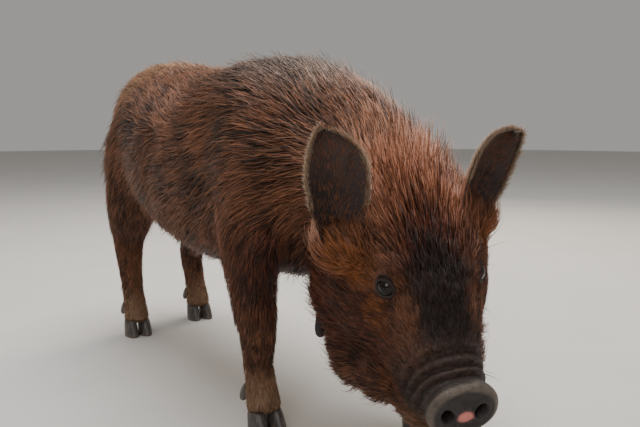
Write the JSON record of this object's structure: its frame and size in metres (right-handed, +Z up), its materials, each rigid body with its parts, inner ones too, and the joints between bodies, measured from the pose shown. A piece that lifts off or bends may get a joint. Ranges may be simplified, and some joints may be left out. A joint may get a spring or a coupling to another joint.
{
  "type": "miniature pig",
  "caption": "Young miniature pig with a long bristly coat, standing on four feet with its head lowered and turned to its right; one still, life-size piece.",
  "frame": {"origin": "on the floor, at the centre of the bounding box's footprint", "axes": "+X the way the pig faces, +Y to its left, +Z up; the soles of its hooves are at Z = 0"},
  "size_m": [0.7298, 0.2074, 0.3699],
  "materials": {
    "coat": "long red-brown and black-brown bristly hair",
    "ear_skin": "dark skin with a fringe of pale hair",
    "snout_skin": "bare moist grey-brown skin",
    "eye": "dark, wet and glossy",
    "hoof": "dark horn, dull"
  },
  "bodies": {
    "root": {"dewclaw_foreleg_left_left": "hoof", "dewclaw_foreleg_left_right": "hoof", "dewclaw_foreleg_right_left": "hoof", "dewclaw_foreleg_right_right": "hoof", "dewclaw_hindleg_left_left": "hoof", "dewclaw_hindleg_left_right": "hoof", "dewclaw_hindleg_right_left": "hoof", "dewclaw_hindleg_right_right": "hoof", "ear_left": "ear_skin", "ear_right": "ear_skin", "eye_left": "eye", "eye_right": "eye", "foreleg_left": "coat", "foreleg_right": "coat", "head": "coat", "hindleg_left": "coat", "hindleg_right": "coat", "hoof_foreleg_left_left": "hoof", "hoof_foreleg_left_right": "hoof", "hoof_foreleg_right_left": "hoof", "hoof_foreleg_right_right": "hoof", "hoof_hindleg_left_left": "hoof", "hoof_hindleg_left_right": "hoof", "hoof_hindleg_right_left": "hoof", "hoof_hindleg_right_right": "hoof", "lower_jaw": "coat", "neck": "coat", "snout": "snout_skin", "tail": "coat", "tassel_left": "coat", "tassel_right": "coat", "torso": "coat"}
  },
  "joints": []
}
